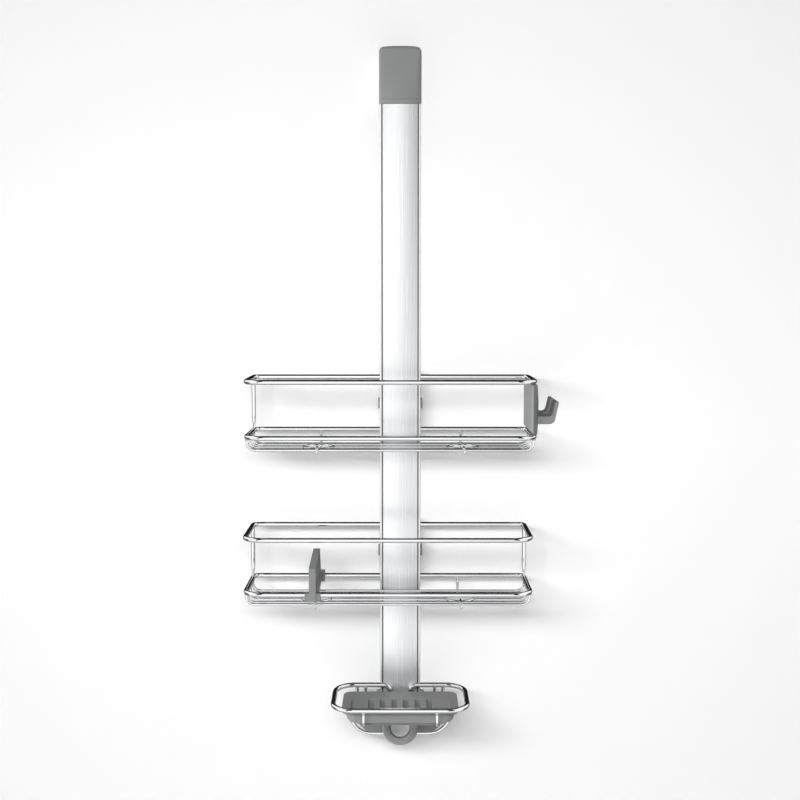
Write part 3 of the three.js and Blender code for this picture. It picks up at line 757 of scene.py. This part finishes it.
def side_hook():
    """The end panel, bowed outside and bevelled in front, and the two-pronged hook outside it."""
    low, high = box_mm("upper_side_hook")
    rim_low, rim_high = box_mm("upper_top_rim")
    side = rim_high.x - RIM_WIRE
    inner, outer = side - 4.4, side + 3
    front, back, bottom, top = low.y, high.y, low.z, high.z
    middle, bow, steps = (bottom + top) / 2, 1.3, 12
    heights = [bottom + (top - bottom) * k / steps for k in range(steps + 1)]
    bowed = [(outer - bow * ((z - middle) / (top - middle)) ** 2, z) for z in heights]
    section = [(inner + 3, bottom), *bowed, (inner, top), (inner, bottom + 3)]
    plan = rounded(
        [(inner, front), (inner + 2.2, front), (outer, front + 6.5), (outer, back), (inner, back)],
        [1.6, 0.8, 2.5, 5.2, 1.3],
        8,
    )
    panel = common(prism(section, "Y", front, back), prism(plan, "Z", bottom, top))
    post_low, post_high = box_mm("upper_upright_right")
    width = (post_low.x - PLAY, post_high.x + PLAY)
    channel = block(width, (post_low.y - PLAY, back + 1), (bottom - 1, top + 1))
    floor, reach = rim_low.z + RIM_WIRE - 42, high.x - outer
    rise, thick, tip = 22.8, 7.8, 3.3
    arm = rounded(
        [
            (outer - 1, floor),
            (outer + 15.4, floor),
            (outer + reach, floor + rise),
            (outer + reach - tip, floor + rise),
            (outer + 13.4, floor + thick),
            (outer - 1, floor + thick),
        ],
        [0, 6, 1.2, 1.2, 4.5, 0],
        8,
    )
    arm_front, arm_back = front + 4, front + 65
    prongs = prism(arm, "Y", arm_front, arm_back)
    slot_middle, slot_half = arm_front + 33, 4.5
    slot = rectangle(slot_middle - slot_half, floor + 5.6, slot_middle + slot_half, floor + 40)
    razor = prism(rounded(slot, [3, 3, 0, 0]), "X", outer + 8, outer + 30)
    obj = join(cut(panel, channel), cut(prongs, razor))
    place(soften(obj, 0.3, 2), "side_hook", "upper_side_hook")


def divider():
    """The fin that parts the lower basket, thinned between its foot on the front rim and its rear clip."""
    low, high = box_mm("lower_divider")
    rim_low, rim_high = box_mm("lower_bottom_rim")
    x, rim = (low.x + high.x) / 2, (rim_low.z + rim_high.z) / 2
    front, rear = rim_low.y + RIM_WIRE, rim_high.y - RIM_WIRE
    top, brow, web = high.z - rim, 27, 2.6
    fin = [
        (front + 1.5, rim + 6.5), (front - 2.2, rim + 8), (front - 2.2, rim + brow - 1),
        (rear - 25, rim + top - 4), (rear - 17, rim + 12), (rear - 17, rim + 6.5),
    ]
    outline = rounded(fin, 1.5)
    pockets = [prism(outline, "X", *sorted((x + side * web, x + side * 6))) for _, side in SIDES]
    place(soften(cut(own_solid("lower_divider"), *pockets), 0.26, 2), "divider", "lower_divider")


# ---------- Soap dish ----------


def dish_wires():
    low, high = box_mm("dish_ring")
    r = RIM_WIRE
    z, x = high.z - r, high.x - r
    front, back = low.y + r, high.y - r
    corners = [
        (LEG_X, back, low.z), (LEG_X, back, z), (x, back, z), (x, front, z),
        (-x, front, z), (-x, back, z), (-LEG_X, back, z), (-LEG_X, back, low.z),
    ]
    path = bend(corners, [6, *[DISH_RADIUS] * 4, 6], 14)
    place(tube(path, r, 28), "dish_frame", "dish_ring")
    for side, _ in SIDES:
        node = f"dish_cradle_{side}"
        low, high = box_mm(node)
        r = (high.x - low.x) / 2
        x, front, back, bottom, top = low.x + r, low.y + r, high.y - r, low.z + r, high.z + WELD
        path = [(x, front, top), (x, front, bottom), (x, back, bottom), (x, back, top)]
        place(welded(bend(path, 6, 10), r), f"cradle_{side}", node)
    low, high = box_mm("dish_hoop")
    r = (high.y - low.y) / 2
    x, y, bottom, top = high.x - r, low.y + r, low.z + r, high.z
    right = [(46, y, top + WELD), (46, y, top - 6), (x, y, top - 17), (x, y, bottom)]
    left = [(-a, b, c) for a, b, c in right[::-1]]
    place(welded(bend(right + left, [5, 8, 24, 24, 8, 5], 12), r), "hoop", "dish_hoop")


def tray():
    """The CAD tray with its edges eased and a drip groove along the foot of its front wall."""
    low, _ = box_mm("soap_tray")
    front, half = low.y + 1, 35.2
    groove = block((-half, half), (front - 2, front + 1.4), (low.z + 0.9, low.z + 1.9))
    place(soften(cut(own_solid("soap_tray"), groove), 0.4), "tray", "soap_tray")


def suction_foot():
    place(softened_copy("dish_bracket", 0.7), "bracket", "dish_bracket")
    dial()
    plunger()
    cup()


def lathe(profile, z, sides=64):
    """A closed profile of (radius, y) turned about a line along Y. It ends on that line or joins up."""
    solid = profile[0][0] < 1e-6
    rings = profile[1:-1] if solid else profile
    vertices, count = [], len(rings)
    for radius, y in rings:
        vertices += [(a, y, b) for a, b in circle((0, z), radius, sides)]
    faces = walls(count, sides, not solid)
    if solid:
        for tip, ring in ((profile[0], 0), (profile[-1], (count - 1) * sides)):
            vertices.append((0, tip[1], z))
            faces += [(len(vertices) - 1, ring + (k + 1) % sides, ring + k) for k in range(sides)]
    obj = new_object("lathe", vertices, faces)
    face_outward(obj)
    obj.data.shade_smooth()
    obj.data.set_sharp_from_angle(angle=math.radians(38))
    return obj


def face_outward(obj):
    mesh = bmesh.new()
    mesh.from_mesh(obj.data)
    bmesh.ops.recalc_face_normals(mesh, faces=mesh.faces)
    mesh.to_mesh(obj.data)
    mesh.free()


def dial():
    """The locking ring, rolled over at its rim and chamfered round the disc."""
    low, high = box_mm("suction_dial")
    z, radius, roll = (low.z + high.z) / 2, (high.z - low.z) / 2, 2
    hole = box_mm("suction_plunger")[1].x + 0.5
    chamfer = [(hole, low.y + 1.1), (hole + 0.5, low.y + 0.25), (hole + 1.3, low.y)]
    rolled = [(radius - roll + roll * math.sin(a), low.y + roll - roll * math.cos(a)) for a in QUARTER]
    place(lathe([*chamfer, *rolled, (radius, high.y), (hole, high.y)], z), "dial", "suction_dial")


def plunger():
    """The pale disc, dished a little inside a rounded lip, on the stud that pulls the cup."""
    low, high = box_mm("suction_plunger")
    radius, stud = high.x, 3.8
    z, face, back = (low.z + high.z) / 2, low.y, low.y + 2.6
    dished = [(0, face + 1.1), (3, face + 1.02), (6, face + 0.78), (8, face + 0.4), (9.2, face + 0.06)]
    lip = [(radius - 0.5, face + 0.12), (radius, face + 0.6), (radius, back)]
    profile = [*dished, *lip, (stud, back), (stud, high.y), (0, high.y)]
    place(lathe(profile, z), "plunger", "suction_plunger")


def cup():
    """The soft cup: a hub that takes the stud and a thin skirt that spreads to a fine lip."""
    low, high = box_mm("suction_cup")
    z, wide, back, face = (low.z + high.z) / 2, (high.z - low.z) / 2, low.y, high.y
    hub, neck, bore = face - 9, 8.4, 4.3
    outside = [
        (neck, back), (9, back + 0.6), (9, hub + 0.6), (12, hub + 1.7),
        (16, hub + 3.2), (21, hub + 5), (25, hub + 6.9), (wide - 0.3, hub + 8.2),
    ]
    lip = [(wide, face - 0.5), (wide - 0.5, face), (wide - 2.4, face)]
    inside = [(22, face - 1.7), (16, face - 3.2), (8, face - 5), (0, face - 6)]
    place(lathe([(0, hub), (bore, hub), (bore, back), *outside, *lip, *inside], z), "cup", "suction_cup")


# ---------- Studio ----------

FILL = (0.26, 0.07)  # what the surroundings add to matt surfaces, from below and from above
BACKDROP = 0.93  # the surroundings as the camera sees them
GLOW = (0.045, 0.17, -0.8, -0.4)  # the wall's own light: least and most, and the heights for them in metres


def stage():
    """A white wall at the door's face that curves into a pale floor. Its back is see-through."""
    floor, reach, height, radius = -905, 3000, 2600, 75
    cove = bend([(0, DOOR_FACE, height), (0, DOOR_FACE, floor), (0, -reach, floor)], radius, 12)
    count = len(cove)
    vertices = [(side * reach, p.y, p.z) for _, side in SIDES for p in cove]
    faces = [(i, i + 1, count + i + 1, count + i) for i in range(count - 1)]
    wall = new_object("stage", vertices, faces)
    wall.data.shade_smooth()
    shade = Shade("stage_paint", Roughness=0.9)
    shade.shader.inputs["Specular IOR Level"].default_value = 0.0
    shade.shader.inputs["Base Color"].default_value = (0.93, 0.93, 0.93, 1)
    shade.shader.inputs["Emission Color"].default_value = (1, 1, 1, 1)
    parts = shade.add("ShaderNodeSeparateXYZ")
    shade.link(shade.coordinates, parts.inputs[0])
    glow = shade.spread(parts.outputs[2], *GLOW)
    shade.link(glow, shade.shader.inputs["Emission Strength"])
    clear = shade.add("ShaderNodeBsdfTransparent")
    choice = shade.add("ShaderNodeMixShader")
    shade.link(shade.add("ShaderNodeNewGeometry").outputs["Backfacing"], choice.inputs["Fac"])
    shade.link(shade.shader.outputs["BSDF"], choice.inputs[1])
    shade.link(clear.outputs["BSDF"], choice.inputs[2])
    shade.link(choice.outputs["Shader"], shade.tree.nodes["Material Output"].inputs["Surface"])
    wall.data.materials.append(shade.material)
    wall.visible_glossy = False


def studio_world():
    """What polished metal mirrors: a bright bank in front, fading to its right, one flank on each side
    and dark gaps between them. Matt surfaces only get the even fill."""
    world = bpy.data.worlds.new("studio")
    world.use_nodes = True
    bpy.context.scene.world = world
    nodes = Nodes(world.node_tree)

    def ramp(source, start, end, low=0.0, high=1.0):
        return nodes.spread(source, low, high, start, end, "SMOOTHSTEP")

    def choose(share, without, fully):
        node = nodes.add("ShaderNodeMix", data_type="FLOAT")
        nodes.feed([node.inputs[i] for i in (0, 2, 3)], (share, without, fully))
        return node.outputs[0]

    direction = nodes.add("ShaderNodeSeparateXYZ")
    nodes.link(nodes.add("ShaderNodeTexCoord").outputs["Generated"], direction.inputs[0])
    across, away, up = direction.outputs
    # The angle round the upright axis, from straight in front, and its size.
    turn = nodes.maths("ARCTAN2", across, nodes.maths("MULTIPLY", away, -1.0))
    aside = nodes.maths("ABSOLUTE", turn)
    bank = nodes.maths("MULTIPLY", ramp(turn, -0.14, 0.42, 1.4, 0.1), ramp(aside, 0.5, 0.42))
    narrow = nodes.maths("MAXIMUM", ramp(up, 0.26, 0.2), ramp(aside, 0.2, 0.16))
    over = nodes.maths("MULTIPLY", nodes.maths("MULTIPLY", bank, narrow), ramp(up, 0.72, 0.62))
    flank = nodes.maths("MULTIPLY", ramp(aside, 0.62, 0.72), ramp(aside, 2.6, 2.3))
    over = nodes.maths("MAXIMUM", over, nodes.maths("MULTIPLY", flank, ramp(up, 0.9, 0.8)))
    under = nodes.maths("MAXIMUM", bank, ramp(aside, 1.75, 1.35, 0.1, 1.0))
    dark, floor = 0.015, 0.45
    level = choose(ramp(up, 0.03, -0.03), nodes.maths("ADD", over, dark), under)
    level = choose(ramp(up, -0.6, -0.68), level, floor)
    ray = nodes.add("ShaderNodeLightPath").outputs
    level = choose(ray["Is Diffuse Ray"], level, ramp(up, -0.5, 0.7, *FILL))
    level = choose(ray["Is Camera Ray"], level, BACKDROP)
    background = nodes.tree.nodes["Background"]
    background.inputs["Color"].default_value = (1, 1, 1, 1)
    nodes.link(level, background.inputs["Strength"])


def lamp(name, kind, **settings):
    """A light that polished pieces don't mirror, because the bank is what they show."""
    data = bpy.data.lights.new(name, kind)
    for key, value in settings.items():
        setattr(data, key, value)
    holder = bpy.data.objects.new(name, data)
    holder.visible_glossy = False
    holder.visible_camera = False
    bpy.context.scene.collection.objects.link(holder)
    return holder


def leave_out(name, light, purpose, *objects):
    """Frees some objects from a light, as things that it lights or as things that block it."""
    group = bpy.data.collections.new(name)
    for each in objects:
        group.objects.link(bpy.data.objects[each])
    setattr(light.light_linking, purpose, group)
    for entry in group.collection_objects:
        entry.light_linking.link_state = "EXCLUDE"


def key_light():
    """A lamp box near the viewer, level with the cap: what hangs lower throws its shade further down.
    It passes the post, the hanger and the side hook, so that the wall beside them stays even."""
    key = lamp("key", "AREA", energy=7.0, shape="RECTANGLE", size=0.95, size_y=0.18)
    key.location = (-0.28, -1.05, -0.1)
    aim = Vector((0, -0.03, -0.48)) - key.location
    key.rotation_euler = aim.to_track_quat("-Z", "Y").to_euler()
    key.data.use_nodes = True
    nodes = key.data.node_tree.nodes
    even = nodes.new("ShaderNodeLightFalloff")
    even.inputs["Strength"].default_value = 1.0
    key.data.node_tree.links.new(even.outputs["Constant"], nodes["Emission"].inputs["Strength"])
    passed = ("post", "cap", "strap", "clamp_plate", "screw_1", "screw_2", "side_hook")
    leave_out("key_passes", key, "blocker_collection", *passed)


def side_light():
    """A broad light from the left for the object alone, so that the wall stays even."""
    side = lamp("side", "SUN", energy=4.8, angle=math.radians(40))
    side.rotation_euler = Vector((0.99, 0.1, -0.06)).to_track_quat("-Z", "Y").to_euler()
    leave_out("side_spares", side, "receiver_collection", "stage")


def camera():
    data = bpy.data.cameras.new("camera")
    data.lens = 50
    data.sensor_width = 36
    viewer = bpy.data.objects.new("camera", data)
    viewer.location = Vector((-0.2, -1209.6, -247.9)) * MM
    viewer.rotation_euler = (math.radians(90 - 5.27), 0, 0)
    bpy.context.scene.collection.objects.link(viewer)
    bpy.context.scene.camera = viewer


post()
hanger()
baskets()
carriages()
side_hook()
divider()
dish_wires()
tray()
suction_foot()
stage()
studio_world()
key_light()
side_light()
camera()
bpy.context.scene.view_settings.view_transform = "Standard"
